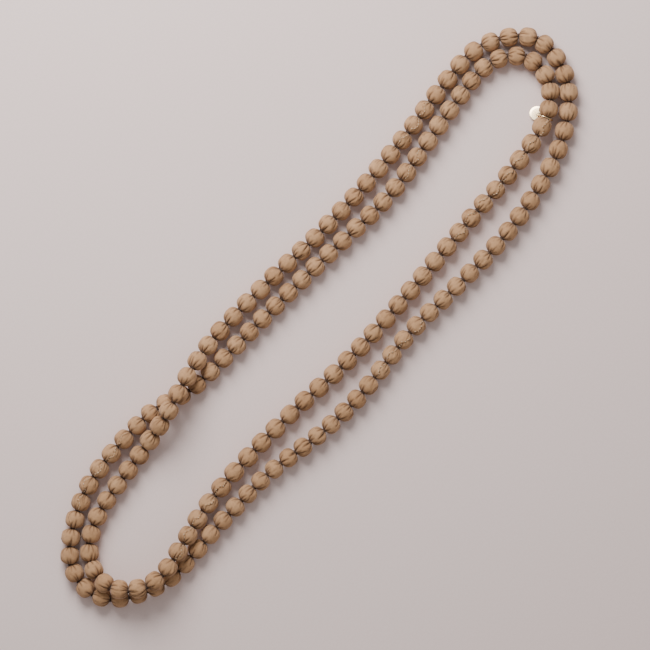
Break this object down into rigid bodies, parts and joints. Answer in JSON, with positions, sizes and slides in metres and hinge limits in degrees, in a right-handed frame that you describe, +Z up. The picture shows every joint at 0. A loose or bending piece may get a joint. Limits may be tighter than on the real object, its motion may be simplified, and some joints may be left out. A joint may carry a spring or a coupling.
{
  "type": "mala prayer beads",
  "caption": "Closed strand of fabric-covered prayer beads, wound into two rounds and laid flat, with a small gold tag on a jump ring.",
  "frame": {"origin": "on the surface it lies on, under the middle of the strand's box", "axes": "+X along the doubled loop towards the tag end, +Y towards the pair of passes that holds the crossing, +Z up"},
  "size_m": [0.4308, 0.0997, 0.0218],
  "materials": {
    "cover_fabric": "matte woven tan cotton, gathered",
    "binding_thread": "dark brown thread",
    "gold_plate": "polished pale gold plate"
  },
  "bodies": {
    "crossing": {"beads_round1_front_AB": "cover_fabric", "beads_round1_back_AB": "cover_fabric", "beads_round2_front_AB": "cover_fabric", "beads_round2_back_AB": "cover_fabric"},
    "far_turn": {"beads_round1_far_turn": "cover_fabric", "beads_round2_far_turn": "cover_fabric", "tie_A_round1_front": "binding_thread", "tie_A_round1_back": "binding_thread", "tie_A_round2_front": "binding_thread", "tie_A_round2_back": "binding_thread"},
    "span_bc": {"beads_round1_front_BC": "cover_fabric", "beads_round1_back_BC": "cover_fabric", "beads_round2_front_BC": "cover_fabric", "beads_round2_back_BC": "cover_fabric", "tie_B_round1_front": "binding_thread", "tie_B_round1_back": "binding_thread", "tie_B_round2_front": "binding_thread", "tie_B_round2_back": "binding_thread"},
    "span_cd": {"beads_round1_front_CD": "cover_fabric", "beads_round1_back_CD": "cover_fabric", "beads_round2_front_CD": "cover_fabric", "beads_round2_back_CD": "cover_fabric", "tie_C_round1_front": "binding_thread", "tie_C_round1_back": "binding_thread", "tie_C_round2_front": "binding_thread", "tie_C_round2_back": "binding_thread"},
    "span_de": {"beads_round1_front_DE": "cover_fabric", "beads_round1_back_DE": "cover_fabric", "beads_round2_front_DE": "cover_fabric", "beads_round2_back_DE": "cover_fabric", "tie_D_round1_front": "binding_thread", "tie_D_round1_back": "binding_thread", "tie_D_round2_front": "binding_thread", "tie_D_round2_back": "binding_thread"},
    "span_ef": {"beads_round1_front_EF": "cover_fabric", "beads_round1_back_EF": "cover_fabric", "beads_round2_front_EF": "cover_fabric", "beads_round2_back_EF": "cover_fabric", "tie_E_round1_front": "binding_thread", "tie_E_round1_back": "binding_thread", "tie_E_round2_front": "binding_thread", "tie_E_round2_back": "binding_thread"},
    "span_fg": {"beads_round1_front_FG": "cover_fabric", "beads_round1_back_FG": "cover_fabric", "beads_round2_front_FG": "cover_fabric", "beads_round2_back_FG": "cover_fabric", "tie_F_round1_front": "binding_thread", "tie_F_round1_back": "binding_thread", "tie_F_round2_front": "binding_thread", "tie_F_round2_back": "binding_thread"},
    "tag_turn": {"beads_outer_tag_turn": "cover_fabric", "beads_inner_tag_turn": "cover_fabric", "tie_G_round1_front": "binding_thread", "tie_G_round1_back": "binding_thread", "tie_G_round2_front": "binding_thread", "tie_G_round2_back": "binding_thread"},
    "ring": {"jump_ring": "gold_plate"},
    "tag": {"tag_disc": "gold_plate"}
  },
  "joints": [
    {"name": "fold_a", "type": "hinge", "parent": "crossing", "child": "far_turn", "pos_m": [-0.1273, 0, 0.00525], "axis": [0.0896, 0.996, 0], "range_deg": [0, 22]},
    {"name": "fold_b", "type": "hinge", "parent": "crossing", "child": "span_bc", "pos_m": [-0.0474, 0, 0.00525], "axis": [0.0499, -0.9988, 0], "range_deg": [0, 26]},
    {"name": "fold_c", "type": "hinge", "parent": "span_bc", "child": "span_cd", "pos_m": [-0.0085, 0, 0.00525], "axis": [-0.1093, -0.994, 0], "range_deg": [0, 35]},
    {"name": "fold_d", "type": "hinge", "parent": "span_cd", "child": "span_de", "pos_m": [0.036, 0, 0.00525], "axis": [-0.1093, -0.994, 0], "range_deg": [0, 35]},
    {"name": "fold_e", "type": "hinge", "parent": "span_de", "child": "span_ef", "pos_m": [0.0805, 0, 0.00525], "axis": [-0.1093, -0.994, 0], "range_deg": [0, 35]},
    {"name": "fold_f", "type": "hinge", "parent": "span_ef", "child": "span_fg", "pos_m": [0.1137, 0, 0.00525], "axis": [-0.0995, -0.995, 0], "range_deg": [0, 35]},
    {"name": "fold_g", "type": "hinge", "parent": "span_fg", "child": "tag_turn", "pos_m": [0.1466, 0, 0.00525], "axis": [-0.0995, -0.995, 0], "range_deg": [0, 35]},
    {"name": "ring_swing", "type": "hinge", "parent": "tag_turn", "child": "ring", "pos_m": [0.1793, -0.0142, 0.00784], "axis": [0.9315, 0.3636, 0], "range_deg": [0, 20]},
    {"name": "tag_swing", "type": "hinge", "parent": "ring", "child": "tag", "pos_m": [0.17811, -0.01116, 0.00184], "axis": [0.9315, 0.3636, 0], "range_deg": [0, 10]}
  ]
}
